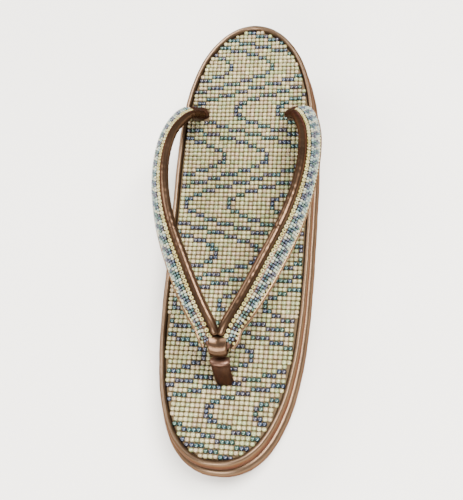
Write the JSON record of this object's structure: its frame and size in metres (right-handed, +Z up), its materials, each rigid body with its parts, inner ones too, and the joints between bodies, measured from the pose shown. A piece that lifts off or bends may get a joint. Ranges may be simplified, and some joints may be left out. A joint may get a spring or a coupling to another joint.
{
  "type": "zori sandal",
  "caption": "Low wedge thong sandal: wrapped layered sole, bead-woven insole inside a raised rim, and a padded beaded V strap held at the front by a toe loop.",
  "frame": {"origin": "bottom centre of the part's bounding box, on the floor that the sole rests on", "axes": "+Y from toe to heel along the sole, +Z up, +X to the right seen from the toe"},
  "size_m": [0.0798, 0.2342, 0.0654],
  "materials": {
    "sole_wrap": "satin bronze",
    "rim_wrap": "satin bronze",
    "insole_beads": "pearl lustre",
    "strap_lining": "satin bronze",
    "strap_beads": "pearl lustre",
    "strap_piping": "satin bronze",
    "toe_leather": "satin bronze"
  },
  "bodies": {
    "root": {"outsole_wedge": "sole_wrap", "midsole": "rim_wrap", "bead_insole": "insole_beads", "straps": "strap_lining", "bead_face_right": "strap_beads", "bead_face_left": "strap_beads", "piping_right": "strap_piping", "piping_left": "strap_piping", "toe_loop": "toe_leather", "toe_post": "toe_leather"}
  },
  "joints": []
}
